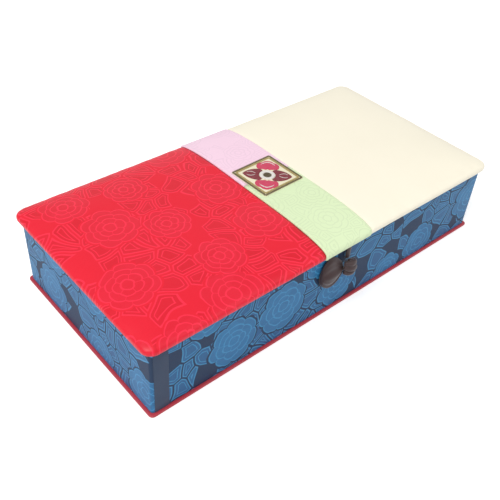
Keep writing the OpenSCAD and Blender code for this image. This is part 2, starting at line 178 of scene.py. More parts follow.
class CoverColours(bpy.types.PropertyGroup):
    """Colours of the cloths."""

    red: colour_property("Red satin", "Ground of the red jacquard satin", (0.8, 0.0055, 0.0263))
    red_motif: colour_property("Red motif", "Woven flowers of the red satin", (0.66, 0.0018, 0.016))
    red_line: colour_property("Red outline", "Outlines of the red satin's flowers", (0.98, 0.024, 0.0675))
    ivory: colour_property("Ivory satin", "Plain satin on the lid's right part", (0.97, 0.91, 0.74))
    pink: colour_property("Pink satin", "Rear half of the band", (0.94, 0.66, 0.80))
    green: colour_property("Green satin", "Front half of the band", (0.72, 0.86, 0.53))
    navy: colour_property("Navy ground", "Ground of the blue brocade", (0.006, 0.0315, 0.0892))
    blue: colour_property("Blue motif", "Woven leaves and flowers of the blue brocade", (0.0042, 0.1232, 0.33))
    sky: colour_property("Sky outline", "Outlines of the blue brocade's flowers", (0.05, 0.323, 0.62))
    base_red: colour_property("Base cloth", "Dark red cloth of the base plate and hinge", (0.46, 0.012, 0.035))
    maroon: colour_property("Maroon satin", "Satin of the pull", (0.0275, 0.0036, 0.0048))
    lining: colour_property("Lining satin", "Cream satin inside the box", (0.82, 0.72, 0.46))


class StageSettings(bpy.types.PropertyGroup):
    """Lamps."""

    key_power: FloatProperty(
        name="Key lamp", description="Power of the large lamp above the front left",
        default=7.92, min=0.0, unit="POWER",
    )
    fill_power: FloatProperty(
        name="Fill lamp", description="Power of the soft lamp at the right",
        default=2.2, min=0.0, unit="POWER",
    )
    sky_strength: FloatProperty(
        name="Sky strength", description="Strength of the even light from all round",
        default=0.66, min=0.0, max=2.0,
    )


# Node graphs

VECTOR, FLOAT = "NodeSocketVector", "NodeSocketFloat"
NODES_PER_ROW = 12
NODE_STEP_X = 180
NODE_STEP_Y = -160
LINE_CORE = 0.6
LINE_EDGE = 1.4


class Loom:
    """Adds nodes to one node tree, joins them up and hands back their outputs."""

    def __init__(self, tree):
        self.tree = tree

    def node(self, kind, **settings):
        made = self.tree.nodes.new(kind)
        for name, value in settings.items():
            setattr(made, name, value)
        row, column = divmod(len(self.tree.nodes), NODES_PER_ROW)
        made.location = (NODE_STEP_X * column, NODE_STEP_Y * row)
        return made

    def put(self, socket, value):
        if isinstance(value, bpy.types.NodeSocket):
            self.tree.links.new(value, socket)
        else:
            socket.default_value = value

    def math(self, operation, *values, clamp=False):
        made = self.node("ShaderNodeMath", operation=operation, use_clamp=clamp)
        for socket, value in zip(made.inputs, values):
            self.put(socket, value)
        return made.outputs[0]

    def add(self, a, b, clamp=False):
        return self.math("ADD", a, b, clamp=clamp)

    def minus(self, a, b):
        return self.math("SUBTRACT", a, b)

    def times(self, a, b):
        return self.math("MULTIPLY", a, b)

    def most(self, a, b):
        return self.math("MAXIMUM", a, b)

    def vector(self, operation, *values):
        made = self.node("ShaderNodeVectorMath", operation=operation)
        for socket, value in zip(made.inputs, values):
            self.put(socket, value)
        return made.outputs["Value" if operation == "LENGTH" else "Vector"]

    def scaled(self, vector, factor):
        made = self.node("ShaderNodeVectorMath", operation="SCALE")
        self.put(made.inputs[0], vector)
        self.put(made.inputs["Scale"], factor)
        return made.outputs[0]

    def split(self, vector):
        made = self.node("ShaderNodeSeparateXYZ")
        self.put(made.inputs[0], vector)
        return made.outputs[0], made.outputs[1], made.outputs[2]

    def join(self, x, y, z):
        made = self.node("ShaderNodeCombineXYZ")
        for socket, value in zip(made.inputs, (x, y, z)):
            self.put(socket, value)
        return made.outputs[0]

    def channels(self, colour_value):
        made = self.node("ShaderNodeSeparateColor")
        self.put(made.inputs[0], colour_value)
        return made.outputs

    def step(self, value, low, high):
        """0 where value is below low, 1 above high, smooth between."""
        made = self.node("ShaderNodeMapRange", interpolation_type="SMOOTHSTEP")
        self.put(made.inputs["Value"], value)
        self.put(made.inputs["From Min"], low)
        self.put(made.inputs["From Max"], high)
        return made.outputs[0]

    def line(self, value, half_width):
        """1 where value is near nought, over a line of that half width."""
        inner = self.times(half_width, LINE_CORE)
        outer = self.times(half_width, LINE_EDGE)
        return self.minus(1.0, self.step(self.math("ABSOLUTE", value), inner, outer))

    def blend(self, factor, a, b):
        made = self.node("ShaderNodeMix", data_type="RGBA")
        self.put(made.inputs["Factor"], factor)
        self.put(made.inputs[6], a)
        self.put(made.inputs[7], b)
        return made.outputs[2]

    def noise(self, vector, scale, detail=2.0):
        made = self.node("ShaderNodeTexNoise")
        self.put(made.inputs["Vector"], vector)
        self.put(made.inputs["Scale"], scale)
        self.put(made.inputs["Detail"], detail)
        return made.outputs["Fac"], made.outputs["Color"]

    def cells(self, place, size, feature, randomness=1.0):
        """Cells of one size strewn over a flat cloth."""
        made = self.node("ShaderNodeTexVoronoi", voronoi_dimensions="2D", feature=feature)
        self.put(made.inputs["Vector"], self.vector("DIVIDE", place, self.join(size, size, size)))
        self.put(made.inputs["Scale"], 1.0)
        self.put(made.inputs["Randomness"], randomness)
        return made.outputs

    def group(self, name, **values):
        made = self.node("ShaderNodeGroup", node_tree=bpy.data.node_groups[name])
        for key, value in values.items():
            self.put(made.inputs[key.title()], value)
        return made.outputs


def new_group(name, inputs, outputs):
    """A shader node group with named sockets. Returns its loom, its inputs and its output node's."""
    tree = bpy.data.node_groups.new(name, "ShaderNodeTree")
    for socket, kind, default in inputs:
        made = tree.interface.new_socket(name=socket, in_out="INPUT", socket_type=kind)
        made.default_value = default
    for socket in outputs:
        tree.interface.new_socket(name=socket, in_out="OUTPUT", socket_type=FLOAT)
    loom = Loom(tree)
    return loom, loom.node("NodeGroupInput").outputs, loom.node("NodeGroupOutput").inputs


def make_weave_group():
    """Fine ribs of the cloth and the flecks in its thread."""
    loom, given, out = new_group(
        "Fine weave",
        [("Coordinate", VECTOR, (0, 0, 0)), ("Pitch", FLOAT, 0.0007)],
        ("Height", "Fleck"),
    )
    x, y, _ = loom.split(given["Coordinate"])
    rate = loom.math("DIVIDE", TURN, given["Pitch"])
    warp = loom.math("SINE", loom.times(x, rate))
    weft = loom.math("SINE", loom.times(y, rate))
    fleck, _ = loom.noise(loom.vector("MULTIPLY", given["Coordinate"], (1, 7, 1)), 260.0)
    ribs = loom.add(loom.times(warp, 0.25), loom.times(weft, 0.2))
    loom.put(out["Height"], loom.add(loom.add(ribs, 0.5), loom.times(fleck, 0.2)))
    loom.put(out["Fleck"], fleck)


# Rings of a peony's petals: share of its radius, petals, depth of the notches, turn
PEONY_RINGS = ((1.0, 7, 0.17, 0.0), (0.73, 6, 0.16, 0.9), (0.47, 5, 0.18, 2.0), (0.22, 4, 0.12, 0.4))
PETAL_ROUNDNESS = 0.55
PEONY_WOBBLE = 0.006


def make_peony_group():
    """One woven peony: rings of lobed petals round a small heart."""
    loom, given, out = new_group(
        "Woven peony",
        [("Place", VECTOR, (0, 0, 0)), ("Radius", FLOAT, 0.02), ("Turn", FLOAT, 0.0), ("Line", FLOAT, 0.0005)],
        ("Fill", "Outline"),
    )
    x, y, _ = loom.split(given["Place"])
    wobble, _ = loom.noise(given["Place"], 70.0)
    away = loom.vector("LENGTH", loom.join(x, y, 0.0))
    away = loom.add(away, loom.times(loom.minus(wobble, 0.5), PEONY_WOBBLE))
    r = loom.math("DIVIDE", away, given["Radius"])
    angle = loom.add(loom.math("ARCTAN2", y, x), given["Turn"])
    line = loom.math("DIVIDE", given["Line"], given["Radius"])
    edges, waves = [], []
    for reach, count, depth, phase in PEONY_RINGS:
        wave = loom.math("ABSOLUTE", loom.math("SINE", loom.add(loom.times(angle, count / 2), phase)))
        lobe = loom.math("POWER", wave, PETAL_ROUNDNESS)
        edges.append(loom.times(loom.add(loom.times(lobe, depth), 1.0 - depth), reach))
        waves.append(wave)
    marks = 0.0
    for k, edge in enumerate(edges):
        marks = loom.most(marks, loom.line(loom.minus(r, edge), line))
        if k + 1 < len(edges):
            within = loom.step(r, edges[k + 1], loom.add(edges[k + 1], 0.01))
            within = loom.times(within, loom.math("LESS_THAN", r, edge))
            fold = loom.line(loom.times(waves[k], r), line)
            marks = loom.most(marks, loom.times(within, fold))
    loom.put(out["Fill"], loom.math("LESS_THAN", r, edges[0]))
    loom.put(out["Outline"], marks)


FLOWER_SCATTER = 0.6
FLOWER_SHARE = 0.30
FLOWER_VARIETY = 0.12
FLOWER_MARGIN = 1.1
LEAF_BEND = 0.016
LEAF_GAPS = 0.22
LEAF_EDGE = 0.0008
LEAF_RIM_AT = 0.0011
LEAF_VEIN_AT = 0.0034


def make_brocade_group():
    """Peonies strewn over the cloth and leaves between them, each with its outline."""
    loom, given, out = new_group(
        "Brocade flowers",
        [("Coordinate", VECTOR, (0, 0, 0)), ("Spacing", FLOAT, 0.047), ("Leaf", FLOAT, 0.0135),
         ("Line", FLOAT, 0.0005)],
        ("Fill", "Outline", "Tone"),
    )
    place = given["Coordinate"]
    cell = loom.cells(place, given["Spacing"], "F1", FLOWER_SCATTER)
    local = loom.vector("SUBTRACT", place, loom.scaled(cell["Position"], given["Spacing"]))
    pick = loom.channels(cell["Color"])
    share = loom.add(FLOWER_SHARE, loom.times(pick[1], FLOWER_VARIETY))
    radius = loom.times(given["Spacing"], share)
    turn = loom.times(pick[0], TURN)
    flower = loom.group("Woven peony", place=local, radius=radius, turn=turn, line=given["Line"])
    wider = loom.times(radius, FLOWER_MARGIN)
    halo = loom.group("Woven peony", place=local, radius=wider, turn=turn, line=given["Line"])
    _, drift = loom.noise(place, 34.0, 1.0)
    bend = loom.scaled(loom.vector("SUBTRACT", drift, (0.5, 0.5, 0.5)), LEAF_BEND)
    bent = loom.vector("ADD", place, bend)
    depth = loom.times(loom.cells(bent, given["Leaf"], "DISTANCE_TO_EDGE")["Distance"], given["Leaf"])
    leaf_pick = loom.channels(loom.cells(bent, given["Leaf"], "F1")["Color"])
    woven = loom.times(loom.math("GREATER_THAN", leaf_pick[0], LEAF_GAPS), loom.minus(1.0, halo["Fill"]))
    leaf = loom.times(loom.math("GREATER_THAN", depth, LEAF_EDGE), woven)
    rim = loom.line(loom.minus(depth, LEAF_RIM_AT), given["Line"])
    vein = loom.line(loom.minus(depth, LEAF_VEIN_AT), loom.times(given["Line"], 0.7))
    leaf_marks = loom.times(loom.most(rim, vein), woven)
    loom.put(out["Fill"], loom.most(flower["Fill"], leaf))
    loom.put(out["Outline"], loom.most(loom.times(flower["Outline"], halo["Fill"]), leaf_marks))
    tone = loom.add(loom.times(flower["Fill"], 0.6), loom.times(leaf_pick[1], 0.5), clamp=True)
    loom.put(out["Tone"], tone)


BLACK, WHITE = (0, 0, 0), (1, 1, 1)
BROCADE_LINE = 0.00042
SCROLL_SPACING = 0.034
SCROLL_LEAF = 0.010
SCROLL_LINE = 0.0004


def colour(rgb):
    return (rgb[0], rgb[1], rgb[2], 1.0)


def mixed(a, b, share):
    return tuple(p * (1 - share) + q * share for p, q in zip(a, b))


def darker(rgb, share):
    return mixed(rgb, BLACK, share)


def paler(rgb, share):
    return mixed(rgb, WHITE, share)


def coordinates(loom, from_uv=False):
    if from_uv:
        return loom.node("ShaderNodeUVMap", uv_map="cloth").outputs[0]
    return loom.node("ShaderNodeTexCoord").outputs["Object"]


def new_material(name):
    material = bpy.data.materials.new(name)
    material.use_nodes = True
    material.node_tree.nodes.clear()
    loom = Loom(material.node_tree)
    shader = loom.node("ShaderNodeBsdfPrincipled")
    loom.put(loom.node("ShaderNodeOutputMaterial").inputs["Surface"], shader.outputs[0])
    return material, loom, shader


def set_sheen(shader, weight):
    shader.inputs["Specular IOR Level"].default_value = 0.35
    shader.inputs["Sheen Weight"].default_value = weight
    shader.inputs["Sheen Roughness"].default_value = 0.4


def bump(loom, shader, height, strength, distance):
    made = loom.node("ShaderNodeBump")
    loom.put(made.inputs["Strength"], strength)
    loom.put(made.inputs["Distance"], distance)
    loom.put(made.inputs["Height"], height)
    loom.put(shader.inputs["Normal"], made.outputs[0])


def brocade_material(name, ground, motif, line, from_uv, shine, deep):
    """Jacquard: a satin ground with woven flowers that catch the light otherwise."""
    sizes = bpy.context.scene.cover_sizes
    material, loom, shader = new_material(name)
    place = coordinates(loom, from_uv)
    woven = loom.group("Brocade flowers", coordinate=place, spacing=sizes.flower_spacing,
                       leaf=sizes.leaf_size, line=BROCADE_LINE)
    weave = loom.group("Fine weave", coordinate=place, pitch=sizes.thread_pitch)
    body = loom.blend(woven["Tone"], colour(mixed(motif, ground, 0.25)), colour(mixed(motif, line, 0.35)))
    tinted = loom.blend(woven["Fill"], colour(ground), body)
    lined = loom.blend(loom.times(woven["Outline"], 0.85), tinted, colour(line))
    shaded = loom.blend(loom.times(weave["Fleck"], deep), lined, colour(darker(ground, 0.5)))
    loom.put(shader.inputs["Base Color"], shaded)
    loom.put(shader.inputs["Roughness"], loom.minus(shine + 0.12, loom.times(woven["Fill"], 0.12)))
    set_sheen(shader, 0.045)
    figures = loom.add(loom.times(woven["Fill"], 0.3), loom.times(woven["Outline"], 0.35))
    bump(loom, shader, loom.add(loom.times(weave["Height"], 0.35), figures), 0.35, 0.0003)
    return material


def satin_material(name, tint, shine=0.38, scroll=0.0, scroll_tint=None, sheen=0.1):
    """Plain satin, with faint scrolls if asked."""
    sizes = bpy.context.scene.cover_sizes
    material, loom, shader = new_material(name)
    place = coordinates(loom)
    weave = loom.group("Fine weave", coordinate=place, pitch=sizes.thread_pitch)
    cloudy, _ = loom.noise(place, 24.0)
    base = loom.blend(cloudy, colour(darker(tint, 0.04)), colour(paler(tint, 0.06)))
    if scroll:
        woven = loom.group("Brocade flowers", coordinate=place, spacing=SCROLL_SPACING,
                           leaf=SCROLL_LEAF, line=SCROLL_LINE)
        base = loom.blend(loom.times(woven["Outline"], scroll), base, colour(scroll_tint))
    flecked = loom.blend(loom.times(weave["Fleck"], 0.10), base, colour(darker(tint, 0.25)))
    loom.put(shader.inputs["Base Color"], flecked)
    loom.put(shader.inputs["Roughness"], loom.add(shine, loom.times(cloudy, 0.08)))
    set_sheen(shader, sheen)
    bump(loom, shader, weave["Height"], 0.15, 0.0002)
    return material


def thread_material(name, tint, pitch=0.0006, angle=0.0):
    """Embroidery silk: close parallel threads, with painted shade darkening the grooves between them."""
    material, loom, shader = new_material(name)
    place = coordinates(loom)
    turned_place = loom.node("ShaderNodeVectorRotate", rotation_type="Z_AXIS")
    loom.put(turned_place.inputs["Vector"], place)
    turned_place.inputs["Angle"].default_value = angle
    x, _, _ = loom.split(turned_place.outputs[0])
    ridge = loom.math("ABSOLUTE", loom.math("SINE", loom.times(x, math.pi / pitch)))
    fleck, _ = loom.noise(place, 600.0)
    # Painted shade: the colour is darker in the grooves between the threads and full tint on their crowns
    groove_shaded = loom.blend(ridge, colour(darker(tint, 0.45)), colour(tint))
    loom.put(shader.inputs["Base Color"], loom.blend(loom.times(fleck, 0.3), groove_shaded, colour(paler(tint, 0.2))))
    shader.inputs["Roughness"].default_value = 0.42
    shader.inputs["Specular IOR Level"].default_value = 0.4
    bump(loom, shader, ridge, 0.5, 0.0003)
    return material


def card_material(name, tint):
    """Grey-brown card with short fibres."""
    material, loom, shader = new_material(name)
    fibre, _ = loom.noise(loom.vector("MULTIPLY", coordinates(loom), (1, 3, 1)), 420.0, 4.0)
    fibrous = loom.blend(fibre, colour(darker(tint, 0.25)), colour(paler(tint, 0.15)))
    loom.put(shader.inputs["Base Color"], fibrous)
    shader.inputs["Roughness"].default_value = 0.9
    bump(loom, shader, fibre, 0.3, 0.0002)
    return material


# Meshes

MATERIALS = {}


def make_piece(name, form, finish, uv=None):
    """A mesh object from a form's points in millimetres and faces, which are turned outwards."""
    points, faces = form
    mesh = bpy.data.meshes.new(name)
    mesh.from_pydata([[v * MM for v in p] for p in points], [], faces)
    work = bmesh.new()
    work.from_mesh(mesh)
    if uv is not None:
        layer = work.loops.layers.uv.new("cloth")
        for face in work.faces:
            for loop in face.loops:
                value = uv[loop.vert.index]
                loop[layer].uv = (value[0] * MM, value[1] * MM)
    bmesh.ops.recalc_face_normals(work, faces=work.faces)
    work.to_mesh(mesh)
    work.free()
    for polygon in mesh.polygons:
        polygon.use_smooth = True
    mesh.materials.append(MATERIALS[finish])
    piece = bpy.data.objects.new(name, mesh)
    bpy.context.scene.collection.objects.link(piece)
    return piece


def lay(name, form, finish, body, slot, *nodes, uv=None):
    """A piece that rides on one body and is seen in place of CAD nodes."""
    piece = make_piece(name, form, finish, uv)
    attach(piece, body)
    if nodes:
        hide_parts(*nodes)
    return piece


def arc(l, d, r, quarter):
    sx = (1, -1, -1, 1)[quarter]
    sy = (1, 1, -1, -1)[quarter]
    turns = [math.radians(90 * (quarter + i / CORNER_STEPS)) for i in range(CORNER_STEPS + 1)]
    return [(sx * (l / 2 - r) + r * math.cos(a), sy * (d / 2 - r) + r * math.sin(a)) for a in turns]


def straight(a, b, steps):
    return [(a[0] + (b[0] - a[0]) * i / steps, a[1] + (b[1] - a[1]) * i / steps) for i in range(1, steps)]


def closed_ring(l, d, r, long_steps, short_steps):
    """Points round a rounded rectangle, anticlockwise from its right side's rear corner."""
    points = []
    for quarter in range(4):
        here = arc(l, d, r, quarter)
        after = arc(l, d, r, (quarter + 1) % 4)
        points += here + straight(here[-1], after[0], long_steps if quarter % 2 == 0 else short_steps)
    return points


def cut_ring(l, d, r, cut_x, side, long_steps, short_steps):
    """The same, on one side of an upright cut at cut_x."""
    first, second = (1, 2) if side < 0 else (3, 0)
    start = (cut_x, -side * d / 2)
    end = (cut_x, side * d / 2)
    a = arc(l, d, r, first)
    b = arc(l, d, r, second)
    return ([start] + straight(start, a[0], long_steps) + a + straight(a[-1], b[0], short_steps)
            + b + straight(b[-1], end, long_steps) + [end])


def ring_rows(profile, l, d, corner, long_steps, short_steps, relief=None):
    """Rings of points along a profile of (distance in, height)."""
    rows = []
    for inset, z in profile:
        ring = closed_ring(l - 2 * inset, d - 2 * inset, max(corner - inset, 0.3), long_steps, short_steps)
        rows.append([(x, y, z + (relief(x, y, inset) if relief else 0.0)) for x, y in ring])
    return rows


def strip_faces(rows, closed, offset=0):
    n = len(rows[0])
    last = n if closed else n - 1
    return [
        (offset + k * n + i, offset + (k + 1) * n + i,
         offset + (k + 1) * n + (i + 1) % n, offset + k * n + (i + 1) % n)
        for k in range(len(rows) - 1) for i in range(last)
    ]


def capped(rows):
    """Points and faces of a closed form from rings of points, with a cap at either end."""
    n = len(rows[0])
    caps = [tuple(range(n)), tuple((len(rows) - 1) * n + i for i in range(n))]
    return [p for row in rows for p in row], strip_faces(rows, True) + caps


def cloth_shell(outer, inner, closed, cap_top):
    """A skin between two sets of rows, which have as many points as each other. Closed all round."""
    n = len(outer[0])
    m = len(outer)
    total = n * m
    e = (m - 1) * n
    faces = strip_faces(outer, closed) + strip_faces(inner, closed, total)
    around = n if closed else n - 1
    for i in range(around):
        j = (i + 1) % n
        faces.append((i, j, total + j, total + i))
        if not cap_top:
            faces.append((e + i, e + j, total + e + j, total + e + i))
    if cap_top:
        faces.append(tuple(e + i for i in range(n)))
        faces.append(tuple(total + e + i for i in range(n)))
    if not closed:
        for k in range(m - 1):
            a, b = k * n, (k + 1) * n
            faces.append((a, b, total + b, total + a))
            faces.append((a + n - 1, b + n - 1, total + b + n - 1, total + a + n - 1))
        if cap_top:
            faces.append((e, total + e, total + e + n - 1, e + n - 1))
    return [p for row in outer + inner for p in row], faces


def direction(path, k):
    """Direction of a path at its point k."""
    return (Vector(path[min(len(path) - 1, k + 1)]) - Vector(path[max(0, k - 1)])).normalized()


def sweep(path, sizes, sides=16, side_axis=(1, 0, 0)):
    """Closed tube along a path, its section an ellipse of half sizes (along side_axis, across it)."""
    rows = []
    turns = [TURN * i / sides for i in range(sides)]
    for k, place in enumerate(path):
        along = direction(path, k)
        wide = Vector(side_axis)
        wide = (wide - along * wide.dot(along)).normalized()
        thin = along.cross(wide)
        a, b = sizes[k]
        rows.append([tuple(Vector(place) + wide * (a * math.cos(t)) + thin * (b * math.sin(t))) for t in turns])
    return capped(rows)


def add_part(points, faces, more):
    """Appends another closed form to the same mesh."""
    base = len(points)
    points += more[0]
    faces += [tuple(base + i for i in f) for f in more[1]]


def hump(away, width):
    """1 at nought, falling off over a width."""
    return math.exp(-(away / width) ** 2)


def soft_block(low, high, radius, puff, axis, cuts):
    """A card covered in cloth: a block with soft edges, its broad faces a little puffed."""
    work = bmesh.new()
    bmesh.ops.create_cube(work, size=1.0)
    size = [h - l for l, h in zip(low, high)]
    middle = [(h + l) / 2 for l, h in zip(low, high)]
    others = [i for i in range(3) if i != axis]
    bmesh.ops.scale(work, vec=size, verts=work.verts)
    bmesh.ops.bevel(work, geom=list(work.edges), offset=min(radius, min(size) * 0.45), segments=3,
                    affect="EDGES", profile=0.5)
    for i in others:
        steps = max(2, int(cuts * size[i] / max(size)))
        for k in range(1, steps):
            place = [0.0, 0.0, 0.0]
            normal = [0.0, 0.0, 0.0]
            place[i] = -size[i] / 2 + size[i] * k / steps
            normal[i] = 1.0
            bmesh.ops.bisect_plane(work, geom=list(work.verts) + list(work.edges) + list(work.faces),
                                   plane_co=place, plane_no=normal)
    points = []
    for v in work.verts:
        p = list(v.co)
        share = 1.0
        for i in others:
            share *= max(0.0, 1 - (2 * abs(p[i]) / size[i]) ** 6)
        if abs(abs(p[axis]) - size[axis] / 2) < 0.01:
            wave = noise.noise(Vector((p[0] / 26, p[1] / 26, p[2] / 19 + 1.7)))
            p[axis] += math.copysign(puff * share * (0.7 + 0.6 * wave), p[axis])
        points.append([a + b for a, b in zip(p, middle)])
    work.verts.index_update()
    faces = [tuple(v.index for v in f.verts) for f in work.faces]
    work.free()
    return points, faces


# Lid


def rise(s):
    return (1 - max(0.0, 1 - s) ** 1.5) ** (1 / 3)


def lid_section(t, with_middle=True):
    """Points of the lid's section, t below the covers' outer face: distance in, height."""
    low = max(t, 0.0)
    radius = EDGE_R * (INNER_EDGE if t > 0 else 1.0)
    points = [(TURN_IN, low)]
    for turn in EDGE_TURNS:
        a = math.radians(turn)
        points.append((t + radius * (1 - math.cos(a)), SIDE_H - (SIDE_H - low) * math.sin(a)))
    for j in range(1, ROLL_ROWS + 1):
        s = (j / ROLL_ROWS) ** ROLL_CROWDING
        points.append((t + (ROLL_W - t) * s, SIDE_H + (LID_H - t - SIDE_H) * rise(s)))
    if with_middle:
        for j in range(1, MIDDLE_ROWS + 1):
            points.append((ROLL_W + MIDDLE_W * j / MIDDLE_ROWS, LID_H - t))
    return points


def corner_radius(d):
    """The lid's corner d in from its edge, never wider than the ring there."""
    return min(CORNER_R + CORNER_GROWTH * d, LID_D / 2 - d - 0.1)


# Creases at the front edge: place along the lid, lean, depth
CREASES = ((-47, 0.35, 1.0), (-40, 0.25, 0.7), (-33, 0.1, 1.0), (-27, -0.1, 0.8), (-92, 0.2, 0.4),
           (-140, 0.6, 0.9), (-134, 0.4, 0.6), (46, 0.1, 0.5), (88, -0.2, 0.4), (124, -0.3, 0.5))
GATHERS_AT = 3.5
GATHERS_REACH = 5.0
CREASE_AT = 6
CREASE_REACH = 7.0
SWELL_FROM = 12


def lid_relief(x, y, d):
    """How far the satin stands off its pad: gathers, creases and soft wadding, in millimetres."""
    sizes = bpy.context.scene.cover_sizes
    along = x if abs(abs(y) - LID_D / 2) < abs(abs(x) - LID_L / 2) else y
    gather = noise.noise(Vector((along / 5.5, 3.1 if y > 0 else 7.7, 0.3 * d / 5)))
    gather += 0.5 * noise.noise(Vector((along / 2.4, 1.0, 0.5)))
    lift = sizes.pucker / MM * gather * hump(d - GATHERS_AT, GATHERS_REACH)
    if y < 0:
        for place, lean, strength in CREASES:
            across = hump(x - place - lean * d, 0.9 + 0.05 * d)
            lift -= sizes.crease / MM * strength * across * hump(d - CREASE_AT, CREASE_REACH)
    broad = noise.noise(Vector((x / 48, y / 48, 4.2))) + 0.5 * noise.noise(Vector((x / 21, y / 21, 9.1)))
    lift += sizes.swell / MM * broad * min(1.0, d / SWELL_FROM)
    return lift


COVER_STEPS = (44, 46)
RELIEF_FROM = SIDE_H * 0.6
RELIEF_REACH = TURN_IN + 62
EDGE_ZONE = 4
EDGE_SHARE = 0.35
CUT_DIP = 0.35
CUT_DIP_W = 1.1
CUT_FLAT_W = 3.0
SIDE_ZONE = 8


def pushed(value, half, out):
    """A point near the lid's side, moved out with the satin's gathers."""
    return value + (out * math.copysign(1, value) if abs(value) > half - SIDE_ZONE else 0.0)


def lid_cover(side, cut_x):
    """One satin cover of the lid, drawn over the pad and turned in below."""
    skins = []
    for t in (0.0, COVER_T):
        rows = []
        for d, h in lid_section(t):
            ring = cut_ring(LID_L - 2 * d, LID_D - 2 * d, corner_radius(d), cut_x, side, *COVER_STEPS)
            upper = h > RELIEF_FROM
            edge = max(0.0, 1 - d / EDGE_ZONE)
            row = []
            for x, y in ring:
                beside = abs(x - cut_x)
                lift = lid_relief(x, y, d) if upper and d < RELIEF_REACH else 0.0
                lift *= min(1.0, beside / CUT_FLAT_W)
                up = 1.0 - (1.0 - EDGE_SHARE) * edge
                dip = CUT_DIP * hump(beside, CUT_DIP_W) if upper else 0.0
                out = edge * lift * 0.7
                row.append((pushed(x, LID_L / 2, out), pushed(y, LID_D / 2, out), LID_Z + h + lift * up - dip))
            rows.append(row)
        skins.append(rows)
    return cloth_shell(skins[0], skins[1], False, True)


BAND_EDGE_STATIONS = (0.0, 0.35, 0.8, 1.4, 2.2)
BAND_COLUMNS = 12
BAND_MARGIN = 3.0
BAND_FOLD = 0.35
BAND_FOLD_AT = 0.9
BAND_FOLD_W = 0.7
BAND_ROUNDING = 1.2
HEM_DEPTH = 0.22
HEM_AT = 4.6
HEM_W = 0.7
BAND_SEAM_DEPTH = 0.3
BAND_SEAM_W = 0.8
BAND_TOP_ROWS = 10


def band_lift(u):
    """How far the band's outer face stands off the lid, u in from its left edge."""
    edge = min(u, BAND_W - u)
    rounding = math.sin(min(1.0, edge / BAND_ROUNDING) * math.pi / 2)
    return BAND_T * min(1.0, 0.25 + 0.75 * rounding) + BAND_FOLD * hump(u - BAND_FOLD_AT, BAND_FOLD_W)


def band_half(side):
    """One half of the band, from its turned-in end to the seam across the lid's top."""
    across = list(BAND_EDGE_STATIONS)
    across += [BAND_MARGIN + i * (BAND_W - 2 * BAND_MARGIN) / BAND_COLUMNS for i in range(BAND_COLUMNS + 1)]
    across += [BAND_W - u for u in reversed(BAND_EDGE_STATIONS)]
    far = LID_D / 2 - side * SEAM_Y

    def stations(t):
        flat = [(ROLL_W + (far - ROLL_W) * j / BAND_TOP_ROWS, LID_H - t) for j in range(1, BAND_TOP_ROWS + 1)]
        return lid_section(t, False) + flat

    outer, inner = [], []
    columns = [(stations(-band_lift(u)), stations(BAND_UNDERSIDE)) for u in across]
    count = len(columns[0][0])
    for k in range(count):
        row_out, row_in = [], []
        for u, (above, below) in zip(across, columns):
            x = BAND_LOW[0] + u
            d, h = above[k]
            y = side * (LID_D / 2 - d)
            lift = 0.0
            if h > SIDE_H:
                if k < count - 1:
                    lift += 0.12 * noise.noise(Vector((x / 9, y / 14, 2.0 + side)))
                if side < 0:
                    lift -= HEM_DEPTH * hump(d - HEM_AT, HEM_W)
                lift -= BAND_SEAM_DEPTH * hump(y - SEAM_Y, BAND_SEAM_W)
            row_out.append((x, y, LID_Z + h + lift))
            d, h = below[k]
            row_in.append((x, side * (LID_D / 2 - d), LID_Z + h))
        outer.append(row_out)
        inner.append(row_in)
    return cloth_shell(outer, inner, False, False)


# Embroidery


def turned(x, y, angle):
    c, s = math.cos(angle), math.sin(angle)
    return x * c - y * s, x * s + y * c


def on_patch(x, y, z):
    """From the patch's own flat coordinates to the lid's top."""
    u, v = turned(x, y, PATCH_TURN)
    return (PATCH_X + u, PATCH_Y + v, PATCH_TOP + z)


def in_leaf(x, y, grow=0.0):
    half = (FLOWER_R - RING_R) * 0.98
    middle = FLOWER_R - half
    r = (half * half + LEAF_HALF_W * LEAF_HALF_W) / (2 * LEAF_HALF_W)
    return all(math.hypot(x - middle, y - k * (LEAF_HALF_W - r)) < r + grow for k in (-1, 1))


def in_petal(x, y):
    lobe = FLOWER_R * 0.27
    inside = math.hypot(x - (FLOWER_R - lobe), y) < lobe
    inside = inside or any(math.hypot(x - FLOWER_R * 0.6, y - k * FLOWER_R * 0.2) < lobe for k in (-1, 1))
    return inside and not in_leaf(y, -x, STITCH_GAP) and not in_leaf(-y, x, STITCH_GAP)


def field_edge(inside, reach, rays=96, step=0.05):
    """Edge of a petal or leaf outside the ring, found along rays from its centre."""
    found = []
    for i in range(rays):
        c, s = math.cos(TURN * i / rays), math.sin(TURN * i / rays)
        r = 0.0
        x, y = FIELD_CENTRE
        while r < reach and inside(x, y) and math.hypot(x, y) > RING_R + STITCH_GAP:
            r += step
            x, y = FIELD_CENTRE[0] + r * c, FIELD_CENTRE[1] + r * s
        found.append((x, y))
    return found


# Rings of a raised field of stitches: share of its width, share of its height
DOME_RINGS = ((1.0, 0.0), (1.0, 0.35), (0.96, 0.7), (0.86, 0.92), (0.6, 1.0), (0.25, 1.0))


def domed(edge, centre, turn, height):
    """A field of stitches: raised, with a soft edge."""
    rows = []
    for share, lift in DOME_RINGS:
        row = []
        for x, y in edge:
            u, v = centre[0] + (x - centre[0]) * share, centre[1] + (y - centre[1]) * share
            row.append(on_patch(*turned(u, v, turn), height * lift))
        rows.append(row)
    return capped(rows)


